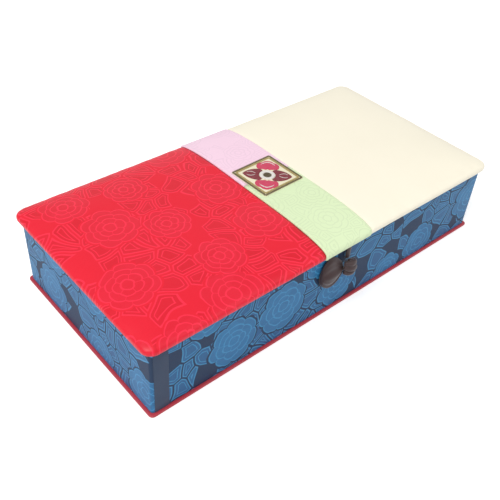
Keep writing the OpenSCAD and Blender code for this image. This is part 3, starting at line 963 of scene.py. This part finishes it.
def stroke(path, half_width, low, high, turn=0.0, sides=8):
    """A raised line of thread along a flat path, pointed at its ends."""
    placed = [on_patch(*turned(x, y, turn), (low + high) / 2) for x, y in path]
    rows = []
    for k, place in enumerate(placed):
        share = math.sin(math.pi * (k + 0.5) / len(path)) ** 0.6
        wide = direction(placed, k).cross(Vector((0, 0, 1))) * (half_width * share)
        tall = (high - low) / 2 * (0.5 + 0.5 * share)
        row = []
        for i in range(sides):
            a = TURN * i / sides
            row.append(tuple(Vector(place) + wide * math.cos(a) + Vector((0, 0, tall * math.sin(a)))))
        rows.append(row)
    return capped(rows)


def short_stitch(x, y, reach, angle=0.0):
    """Five points of one stitch centred on a place."""
    c, s = math.cos(angle), math.sin(angle)
    return [(x + reach * q * c, y + reach * q * s) for q in (-1, -0.5, 0, 0.5, 1)]


BOARDS = ("base_board", "front_board", "rear_board", "left_board", "right_board", "floor_board", "lid_board")


class BROCADE_OT_materials(bpy.types.Operator):
    """Builds the node groups and the materials of every cloth, thread and card"""

    bl_idname = "brocade_box.materials"
    bl_label = "Make Materials"

    def execute(self, context):
        tint = context.scene.cover_colours
        make_weave_group()
        make_peony_group()
        make_brocade_group()
        red = brocade_material("red_brocade", tint.red, tint.red_motif, tint.red_line, False, 0.36, 0.12)
        blue = brocade_material("blue_brocade", tint.navy, tint.blue, tint.sky, True, 0.42, 0.35)
        pink_scroll, green_scroll = (0.62, 0.45, 0.55), (0.45, 0.55, 0.36)
        MATERIALS.update({
            "red": red,
            "blue": blue,
            "ivory": satin_material("ivory_satin", tint.ivory, shine=0.42),
            "pink": satin_material("pink_satin", tint.pink, scroll=0.22, scroll_tint=pink_scroll),
            "green": satin_material("green_satin", tint.green, scroll=0.22, scroll_tint=green_scroll),
            "base": satin_material("base_cloth", tint.base_red, shine=0.5),
            "hinge": satin_material("hinge_cloth", darker(tint.base_red, 0.2), shine=0.55),
            "lap": satin_material("brocade_lap", darker(tint.navy, 0.1), shine=0.55),
            "lining": satin_material("lining_satin", tint.lining, shine=0.34, sheen=0.2),
            "wadding": satin_material("wadding", (0.9, 0.88, 0.8), shine=0.8),
            "maroon": satin_material("maroon_satin", tint.maroon, shine=0.36, sheen=0.25),
            "card": card_material("card", (0.40, 0.31, 0.21)),
            "patch": satin_material("patch_cloth", (0.84, 0.78, 0.56), shine=0.6),
            "olive": thread_material("olive_thread", (0.16, 0.12, 0.035), angle=0.7),
            "gold": thread_material("gold_thread", (0.50, 0.38, 0.12), angle=0.7),
            "crimson": thread_material("crimson_thread", (0.72, 0.03, 0.11), angle=0.785),
            "dark_red": thread_material("dark_red_thread", (0.24, 0.006, 0.02), angle=-0.785),
            "white": thread_material("white_thread", (0.92, 0.88, 0.82), pitch=0.0005),
            "heart": thread_material("heart_thread", (0.10, 0.07, 0.02), pitch=0.0008),
        })
        for node in BOARDS:
            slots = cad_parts[node].data.materials
            slots.clear()
            slots.append(MATERIALS["card"])
        return {"FINISHED"}


class BROCADE_OT_base_plate(bpy.types.Operator):
    """Wraps the thin base plate in dark red cloth"""

    bl_idname = "brocade_box.base_plate"
    bl_label = "Wrap Base Plate"

    def execute(self, context):
        l = BASE_HIGH[0] - BASE_LOW[0]
        d = BASE_HIGH[1] - BASE_LOW[1]
        top = BASE_TOP
        outside = [(14, top), (8, top), (1.2, top), (0.35, top - 0.08), (0.06, top - 0.35), (0, top / 2),
                   (0.06, 0.35), (0.35, 0.06), (1.2, 0.0), (8, 0.0), (40, 0.0), (70, 0.0)]
        inside = [(14, top - 0.2), (8, top - 0.2), (1.2, top - 0.2), (0.5, top - 0.25), (0.26, top - 0.5),
                  (0.2, top / 2), (0.26, 0.5), (0.5, 0.25), (1.2, 0.2), (8, 0.2), (40, 0.2), (70, 0.2)]
        outer = ring_rows(outside, l, d, BASE_CORNER_R, 90, 46)
        inner = ring_rows(inside, l, d, BASE_CORNER_R, 90, 46)
        lay("base_cloth_wrap", cloth_shell(outer, inner, True, True), "base", "tray", "base_cloth", "base_cloth")
        return {"FINISHED"}


class BROCADE_OT_wall_brocade(bpy.types.Operator):
    """Draws the blue brocade round the tray's walls and over their top edges"""

    bl_idname = "brocade_box.wall_brocade"
    bl_label = "Wrap Walls"

    def execute(self, context):
        through = 2 * BROCADE_T + WALL_BOARD_T
        top = TRAY_TOP
        rows_up = 14
        outside = [(0.0, BASE_TOP), (0.0, BASE_TOP + 0.6)]
        outside += [(0.0, BASE_TOP + (top - BASE_TOP) * k / rows_up) for k in range(1, rows_up)]
        outside += [(0.0, top - 0.9), (0.12, top - 0.4), (0.45, top - 0.1), (0.95, top)]
        outside += [(through - inset, z) for inset, z in reversed(outside[-4:])]
        outside += [(through, top - 6), (through, top - 12)]
        within = []
        for inset, z in outside:
            if inset < 0.5:
                within.append((BROCADE_T, min(z, top - 0.42)))
            elif inset > through - 0.5:
                within.append((through - BROCADE_T, min(z, top - 0.42)))
            else:
                within.append((min(max(inset, 0.6), through - 0.6), top - BROCADE_T))
        outer = ring_rows(outside, TRAY_L, TRAY_D, TRAY_CORNER_R, 96, 48)
        inner = ring_rows(within, TRAY_L, TRAY_D, TRAY_CORNER_R, 96, 48)
        run = [0.0]
        for a, b in zip(outer[0], outer[0][1:]):
            run.append(run[-1] + math.dist(a[:2], b[:2]))
        drop = [0.0]
        for a, b in zip(outside, outside[1:]):
            drop.append(drop[-1] + math.dist(a, b))
        uv = [(s, t) for t in drop for s in run] * 2
        wrap = cloth_shell(outer, inner, True, False)
        lay("wall_brocade_wrap", wrap, "blue", "tray", "blue_brocade", "wall_brocade", uv=uv)
        left, face, top_margin, glued = -TRAY_L / 2 + LAP_AT, -TRAY_D / 2, 0.6, 0.05
        lap = soft_block((left, face - LAP_T, BASE_TOP), (left + LAP_W, face + glued, top - top_margin),
                         radius=0.12, puff=0.0, axis=1, cuts=6)
        lay("brocade_lap", lap, "lap", "tray", "blue_brocade")
        return {"FINISHED"}


class BROCADE_OT_linings(bpy.types.Operator):
    """Sets the satin-covered lining cards, the floor pad's cover and the lid's lining"""

    bl_idname = "brocade_box.linings"
    bl_label = "Line the Inside"

    def execute(self, context):
        for node, thin in (("front_lining", 1), ("rear_lining", 1), ("left_lining", 0), ("right_lining", 0)):
            low, high = node_box(node)
            if low[thin] + high[thin] < 0:
                low[thin] = high[thin] - LINING_T
            else:
                high[thin] = low[thin] + LINING_T
            card = soft_block(low, high, radius=0.5, puff=0.12, axis=thin, cuts=26)
            lay(node + "_card", card, "lining", "tray", "lining", node)
        self.cushion()
        low, high = node_box("lid_lining")
        card = soft_block(low, (high[0], high[1], low[2] + LID_CARD_T), radius=0.3, puff=0.1, axis=2, cuts=30)
        lay("lid_lining_card", card, "lining", "lid", "lining", "lid_lining")
        return {"FINISHED"}

    def cushion(self):
        """The floor's thin cushion: a rolled edge and a low crown."""
        low, high = node_box("floor_lining")
        bottom = low[2]
        edge = high[2] - FLOOR_CROWN
        roll_at, roll_w, flat_w = 1.5, 24.5, 40

        def dome(x, y, inset):
            return 0.22 * noise.noise(Vector((x / 30, y / 30, 5.5))) * min(1.0, inset / 10)

        profile = [(0.35, bottom), (0.05, bottom + 0.4), (0.0, bottom + (edge - bottom) * 0.5),
                   (0.12, edge - 0.7), (0.6, edge - 0.2), (roll_at, edge + 0.02)]
        for s in [(j / 10) ** 1.2 for j in range(1, 11)]:
            profile.append((roll_at + roll_w * s, edge + 0.02 + (FLOOR_CROWN - 0.02) * (1 - (1 - s) ** 2)))
        profile += [(roll_at + roll_w + flat_w * j / 6, edge + FLOOR_CROWN) for j in range(1, 7)]
        rows = ring_rows(profile, high[0] - low[0], high[1] - low[1], FLOOR_CORNER_R, 90, 46, dome)
        piece = lay("floor_cushion", capped(rows), "lining", "tray", "lining", "floor_lining", "floor_pad")


class BROCADE_OT_lid_covers(bpy.types.Operator):
    """Draws the red and ivory satin and the two-coloured band over the lid's pad"""

    bl_idname = "brocade_box.lid_covers"
    bl_label = "Cover the Lid"

    def execute(self, context):
        red = lay("red_satin_cover", lid_cover(-1, RED_HIGH[0]), "red", "lid", "red_brocade", "red_cover")
        ivory = lay("ivory_satin_cover", lid_cover(1, IVORY_LOW[0]), "ivory", "lid", "ivory_satin", "ivory_cover")
        lay("green_band_cloth", band_half(-1), "green", "lid", "green_satin", "green_band")
        lay("pink_band_cloth", band_half(1), "pink", "lid", "pink_satin", "pink_band")
        self.wadding()
        return {"FINISHED"}

    def wadding(self):
        """The wadding under both covers, down to the lid's board."""
        under_cover, lowest, foot = 0.25, 3.6, 3.5
        rows = []
        for d, h in lid_section(COVER_T + under_cover):
            if h >= lowest:
                ring = closed_ring(LID_L - 2 * d, LID_D - 2 * d, corner_radius(d), 40, 20)
                rows.append([(x, y, LID_Z + h) for x, y in ring])
        rows.insert(0, [(x, y, LID_Z + foot) for x, y, _ in rows[0]])
        wadding = lay("lid_wadding", capped(rows), "wadding", "lid", "wadding", "lid_pad")


class BROCADE_OT_patch(bpy.types.Operator):
    """Sews the embroidered patch on the band: ground, border, petals, leaves and heart"""

    bl_idname = "brocade_box.patch"
    bl_label = "Embroider Patch"

    def execute(self, context):
        sizes = context.scene.cover_sizes
        self.ground()
        self.border("border_outer_stitches", 0.75, "olive", sizes.stitch_pitch / MM, "patch_border")
        self.border("border_inner_stitches", 2.35, "gold", sizes.stitch_pitch / MM)
        self.fields("petal_stitches", field_edge(in_petal, 8.0), (45, 225), "crimson", "patch_petals")
        self.fields("leaf_stitches", field_edge(in_leaf, 9.0), (135, 315), "dark_red", "patch_leaves")
        self.white(sizes.stitch_count)
        self.heart()
        return {"FINISHED"}

    def ground(self):
        thick = PATCH_HIGH[2] - PATCH_LOW[2]
        profile = [(0.0, -thick), (0.0, -thick * 0.4), (0.12, -0.06), (0.5, 0.0)]
        profile += [(inset, 0.0) for inset in (6.0, 12.0, 16.5)]
        rows = []
        for inset, z in profile:
            ring = closed_ring(PATCH_W - 2 * inset, PATCH_D - 2 * inset, max(0.8 - inset, 0.3), 20, 20)
            rows.append([on_patch(x, y, z) for x, y in ring])
        lay("patch_cloth", capped(rows), "patch", "lid", "patch_ground", "patch_ground")

    def border(self, name, inset, tint, pitch, *nodes):
        """A row of slanting stitches round the patch."""
        slant, reach, thickness = 62, 0.78, 0.52
        points, faces = [], []
        w, d = PATCH_W - 2 * inset, PATCH_D - 2 * inset
        for side in range(4):
            length = (w, d)[side % 2]
            count = int(length / pitch)
            for k in range(count):
                u = -length / 2 + length * (k + 0.5) / count
                x, y = ((u, -d / 2), (w / 2, u), (-u, d / 2), (-w / 2, -u))[side]
                stitch = short_stitch(x, y, reach, math.radians(90 * side + slant))
                add_part(points, faces, stroke(stitch, pitch * thickness, -0.05, 0.42))
        lay(name, (points, faces), tint, "lid", "patch_border", *nodes)

    def fields(self, name, edge, turns, tint, node):
        """The same field of stitches at each turn about the patch's centre."""
        points, faces = [], []
        for turn in turns:
            add_part(points, faces, domed(edge, FIELD_CENTRE, math.radians(turn), FIELD_H))
        lay(name, (points, faces), tint, "lid", tint + "_thread", node)

    def white(self, stroke_count):
        """Crescents on the petals, veins on the leaves and the ring round the heart."""
        points, faces = [], []
        for turn in (45, 225):
            for k in range(stroke_count):
                r = 2.2 + 1.5 * k
                tip = FLOWER_R - 1.7 - 1.1 * r
                turns = [math.radians(a) for a in range(-70, 71, 14)]
                path = [(tip + r * math.cos(a), r * math.sin(a)) for a in turns]
                add_part(points, faces, stroke(path, 0.32, 0.3, 0.56, math.radians(turn)))
        vein_from, vein_bow, vein_l = 7.6, 2.08, 8.2
        for turn in (135, 315):
            for bend in (-1, 1):
                steps = [0.6 + k for k in range(7)]
                path = [(vein_from + u, bend * (vein_bow * math.sin(math.pi * u / vein_l) + 0.3)) for u in steps]
                add_part(points, faces, stroke(path, 0.26, 0.3, 0.54, math.radians(turn)))
        n = 72
        rings = ((RING_R, 0.0), (RING_R, 0.22), (RING_R - 0.3, 0.40), (RING_R - 1.2, 0.45),
                 (HEART_R + 0.5, 0.40), (HEART_R + 0.15, 0.2), (HEART_R + 0.15, 0.0))
        turns = [TURN * i / n for i in range(n)]
        rows = [[on_patch(r * math.cos(a), r * math.sin(a), z) for a in turns] for r, z in rings]
        last = (len(rings) - 1) * n
        closing = [(i, last + i, last + (i + 1) % n, (i + 1) % n) for i in range(n)]
        add_part(points, faces, ([p for row in rows for p in row], strip_faces(rows, True) + closing))
        lay("white_stitches", (points, faces), "white", "lid", "white_thread", "patch_ring")

    def heart(self):
        """The dark heart: a low disc with a ring of small knots."""
        n = 48
        disc = [(HEART_R * math.cos(TURN * i / n), HEART_R * math.sin(TURN * i / n)) for i in range(n)]
        points, faces = domed(disc, (0.0, 0.0), 0.0, 0.4)
        knots = [(1.5 * math.cos(TURN * k / 6), 1.5 * math.sin(TURN * k / 6)) for k in range(6)] + [(0.0, 0.0)]
        for x, y in knots:
            add_part(points, faces, stroke(short_stitch(x, y, 0.42), 0.45, 0.3, 0.75))
        lay("heart_stitches", (points, faces), "heart", "lid", "olive_thread", "patch_center")


# Rolls of the knot: rise of its middle, lean, reach to each side, how far it stands in front, thickness
KNOT_ROLLS = (
    (0.60, -10, 0.88, 0.45, 0.36),
    (0.06, -14, 0.98, 0.62, 0.38),
    (-0.52, -4, 0.82, 0.48, 0.40),
    (0.05, 74, 0.85, 0.10, 0.46),
)


class BROCADE_OT_pull(bpy.types.Operator):
    """Ties the satin pull: its strap, its knot and its loop"""

    bl_idname = "brocade_box.pull"
    bl_label = "Tie Pull"

    def execute(self, context):
        self.strap()
        self.knot()
        self.loop()
        return {"FINISHED"}

    def strap(self):
        """From its end under the lid, over the lid's edge and down into the knot."""
        x = (STRAP_LOW[0] + STRAP_HIGH[0]) / 2
        half = (STRAP_HIGH[0] - STRAP_LOW[0]) / 2
        axis_y = (STRAP_LOW[1] + STRAP_HIGH[1]) / 2
        tail_z = (TAIL_LOW[2] + TAIL_HIGH[2]) / 2
        tail_half_t, bend_y, bend_h, bend_steps, hang_steps = 0.14, -71.6, 1.9, 8, 5
        path = [(x, y, tail_z) for y in (TAIL_HIGH[1], -63, -66, -69, -71)]
        sizes = [(half * 0.98, tail_half_t)] * len(path)
        for k in range(1, bend_steps + 1):
            a = math.radians(90 * k / bend_steps)
            path.append((x, bend_y + (axis_y - bend_y) * math.sin(a), tail_z - bend_h * (1 - math.cos(a))))
            sizes.append((half * (0.98 - 0.01 * k), tail_half_t + 0.1 * k))
        top = path[-1][2]
        bottom = KNOT_HIGH[2] - 1.5
        for k in range(1, hang_steps + 1):
            s = k / hang_steps
            path.append((x - 0.9 * s, axis_y - 0.5 * s ** 2, top + (bottom - top) * s))
            sizes.append((half * (0.9 - 0.03 * k), 0.95))
        strap = make_piece("pull_strap_cloth", sweep(path, sizes, 20), "maroon")
        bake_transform(strap)
        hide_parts("pull_strap", "pull_tail")

    def knot(self):
        """Soft rolls of cloth over one another."""
        middle = [(a + b) / 2 for a, b in zip(KNOT_LOW, KNOT_HIGH)]
        reach = [(b - a) / 2 for a, b in zip(KNOT_LOW, KNOT_HIGH)]
        stations = 15
        points, faces = [], []
        for rise_z, lean, wide, front, thick in KNOT_ROLLS:
            c, s = math.cos(math.radians(lean)), math.sin(math.radians(lean))
            path, sizes = [], []
            for k in range(stations):
                u = -1 + 2 * k / (stations - 1)
                bow = math.sqrt(max(0.0, 1 - (u * 0.93) ** 2))
                along = u * wide * reach[0] * 0.86
                path.append((middle[0] + along * c, middle[1] - reach[1] * (front * bow - 0.35 * (1 - bow)),
                             middle[2] + rise_z * reach[2] + along * s - 0.08 * reach[2] * bow))
                size = thick * reach[2] * (0.45 + 0.55 * bow)
                sizes.append((size, size * 0.92))
            add_part(points, faces, sweep(path, sizes, 20, (0, 0, 1)))
        lay("pull_knot_folds", (points, faces), "maroon", "pull", "maroon_satin", "pull_knot")

    def loop(self):
        """The bow's loop: flat behind, swollen and folded in front."""
        stations, sides, back = 27, 72, 0.95
        length = LOOP_HIGH[0] - LOOP_LOW[0]
        plane_y = LOOP_HIGH[1] - back
        middle_z = (LOOP_LOW[2] + LOOP_HIGH[2]) / 2
        half_h = (LOOP_HIGH[2] - LOOP_LOW[2]) / 2
        bulge = plane_y - LOOP_LOW[1]
        rows = []
        for k in range(stations):
            u = k / (stations - 1)
            if u < 0.6:
                spread = 0.34 + 0.66 * math.sin(math.radians(150 * u))
            else:
                spread = math.sqrt(max(0.0, 1 - ((u - 0.6) / 0.43) ** 2))
            row = []
            for i in range(sides):
                a = TURN * i / sides
                fold = 1 + (0.20 * math.cos(6.0 * a + 1.2 * u) + 0.08 * math.cos(13 * a)) * (1 - 0.55 * u)
                front = bulge * 0.8 * (0.45 + 0.55 * spread) * (1 - 0.5 * math.sin(a)) * fold / 1.12
                deep = front if math.cos(a) > 0 else 0.9
                row.append((LOOP_HIGH[0] - u * length + 0.5 * math.sin(a) * u,
                            max(plane_y - deep * math.cos(a), LOOP_LOW[1] - 0.2),
                            middle_z + half_h * spread * math.sin(a)))
            rows.append(row)
        lay("pull_loop_cloth", capped(rows), "maroon", "pull", "maroon_satin", "pull_loop")


class BROCADE_OT_hinge(bpy.types.Operator):
    """Glues the hinge cloth down the rear wall and under the lid, slack between the two"""

    bl_idname = "brocade_box.hinge"
    bl_label = "Glue Hinge"

    def execute(self, context):
        low, high = node_box("hinge_wall_leaf")
        under_low, under_high = node_box("hinge_lid_leaf")
        half_t, columns, slack_from, slack_w, slack_bow = 0.13, 60, 0.9, 0.35, 0.55
        y = (low[1] + high[1]) / 2
        z = (under_low[2] + under_high[2]) / 2
        start_z = high[2] - slack_from
        path = [(y, low[2] + (high[2] - 1.0 - low[2]) * k / 10) for k in range(11)]
        for k in range(1, 8):
            a = math.radians(180 * k / 8)
            out = slack_w * (math.cos(a) - 1) + slack_bow * math.sin(a)
            path.append((y + out, start_z + (z - start_z) * (k / 8) ** 0.8))
        path += [(y - 0.8 - (y - 0.8 - under_low[1]) * k / 8, z) for k in range(9)]
        across = [low[0] + (high[0] - low[0]) * i / columns for i in range(columns + 1)]
        outer, inner = [], []
        for k, place in enumerate(path):
            way = direction(path, k)
            side = Vector((way[1], -way[0])) * half_t
            outer.append([(x, place[0] + side[0], place[1] + side[1]) for x in across])
            inner.append([(x, place[0] - side[0], place[1] - side[1]) for x in across])
        piece = make_piece("hinge_strip", cloth_shell(outer, inner, False, False), "hinge")
        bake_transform(piece)
        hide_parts("hinge_wall_leaf", "hinge_lid_leaf")
        return {"FINISHED"}


# Stage: places in metres, the camera as fitted to the box's edges
KEY_PLACE, KEY_SIZE = (-0.75, -0.15, 1.05), 0.7
FILL_PLACE, FILL_SIZE = (0.7, -0.7, 0.9), 0.9
LAMP_AIM = (0, 0, 0.03)
FLOOR_SIZE = 8.0
FLOOR_GREY = 0.93
FLOOR_GLOW = 0.35
CAMERA_PLACE = (-0.2769, -0.2767, 0.3344)
CAMERA_FORWARD = (0.522936, 0.549461, -0.651637)
CAMERA_RIGHT = (0.757704, -0.649823, 0.060123)
CAMERA_LENS = 50.19
CAMERA_SENSOR = 36.0


class BROCADE_OT_stage(bpy.types.Operator):
    """Sets the floor, the lamps, the sky and the camera"""

    bl_idname = "brocade_box.stage"
    bl_label = "Set Stage"

    def execute(self, context):
        settings = context.scene.stage_settings
        self.floor()
        self.lamp("key_lamp", KEY_PLACE, settings.key_power, KEY_SIZE)
        self.lamp("fill_lamp", FILL_PLACE, settings.fill_power, FILL_SIZE)
        self.sky(settings.sky_strength)
        self.camera()
        context.scene.view_settings.view_transform = "Standard"
        return {"FINISHED"}

    def floor(self):
        bpy.ops.mesh.primitive_plane_add(size=FLOOR_SIZE, location=(0, 0, 0))
        floor = bpy.context.object
        floor.name = "studio_floor"
        material, loom, shader = new_material("pale_floor")
        shader.inputs["Base Color"].default_value = colour((FLOOR_GREY, FLOOR_GREY, FLOOR_GREY))
        shader.inputs["Roughness"].default_value = 0.9
        shader.inputs["Emission Color"].default_value = colour(WHITE)
        seen = loom.node("ShaderNodeLightPath").outputs["Is Camera Ray"]
        loom.put(shader.inputs["Emission Strength"], loom.times(seen, FLOOR_GLOW))
        floor.data.materials.append(material)

    def lamp(self, name, place, power, size):
        data = bpy.data.lights.new(name, "AREA")
        data.energy = power
        data.size = size
        made = bpy.data.objects.new(name, data)
        made.location = place
        made.rotation_euler = (Vector(LAMP_AIM) - Vector(place)).to_track_quat("-Z", "Y").to_euler()
        bpy.context.scene.collection.objects.link(made)

    def sky(self, strength):
        """Even light on the box, white where the camera sees it."""
        world = bpy.data.worlds.new("studio_sky")
        world.use_nodes = True
        world.node_tree.nodes.clear()
        loom = Loom(world.node_tree)
        even = loom.node("ShaderNodeBackground")
        even.inputs["Color"].default_value = colour(WHITE)
        seen = loom.node("ShaderNodeLightPath").outputs["Is Camera Ray"]
        lit = loom.times(loom.minus(1.0, seen), strength)
        loom.put(even.inputs["Strength"], loom.add(seen, lit))
        loom.put(loom.node("ShaderNodeOutputWorld").inputs["Surface"], even.outputs[0])
        bpy.context.scene.world = world

    def camera(self):
        data = bpy.data.cameras.new("photo_camera")
        data.lens = CAMERA_LENS
        data.sensor_width = CAMERA_SENSOR
        camera = bpy.data.objects.new("photo_camera", data)
        right = Vector(CAMERA_RIGHT).normalized()
        forward = Vector(CAMERA_FORWARD).normalized()
        axes = (right, right.cross(forward), -forward, Vector(CAMERA_PLACE))
        rows = [tuple(axis[i] for axis in axes) for i in range(3)]
        camera.matrix_world = Matrix(rows + [(0, 0, 0, 1)])
        bpy.context.scene.collection.objects.link(camera)
        bpy.context.scene.camera = camera


class BROCADE_PT_panel(bpy.types.Panel):
    """Lists the steps in the order in which the box is made"""

    bl_idname = "BROCADE_PT_panel"
    bl_label = "Gift Box"
    bl_space_type = "VIEW_3D"
    bl_region_type = "UI"
    bl_category = "Gift Box"

    def draw(self, context):
        for step in STEPS:
            self.layout.operator(step.bl_idname)
        for group in (context.scene.cover_sizes, context.scene.cover_colours, context.scene.stage_settings):
            column = self.layout.column()
            for key in group.__annotations__:
                column.prop(group, key)


STEPS = (
    BROCADE_OT_stage,
    BROCADE_OT_materials,
    BROCADE_OT_base_plate,
    BROCADE_OT_wall_brocade,
    BROCADE_OT_linings,
    BROCADE_OT_lid_covers,
    BROCADE_OT_patch,
    BROCADE_OT_pull,
    BROCADE_OT_hinge,
)
CLASSES = (CoverSizes, CoverColours, StageSettings) + STEPS + (BROCADE_PT_panel,)


def register():
    for made in CLASSES:
        bpy.utils.register_class(made)
    bpy.types.Scene.cover_sizes = PointerProperty(type=CoverSizes)
    bpy.types.Scene.cover_colours = PointerProperty(type=CoverColours)
    bpy.types.Scene.stage_settings = PointerProperty(type=StageSettings)


def unregister():
    del bpy.types.Scene.stage_settings
    del bpy.types.Scene.cover_colours
    del bpy.types.Scene.cover_sizes
    for made in reversed(CLASSES):
        bpy.utils.unregister_class(made)


def main():
    register()
    for step in STEPS:
        area, name = step.bl_idname.split(".")
        getattr(getattr(bpy.ops, area), name)()


if __name__ == "__main__":
    main()
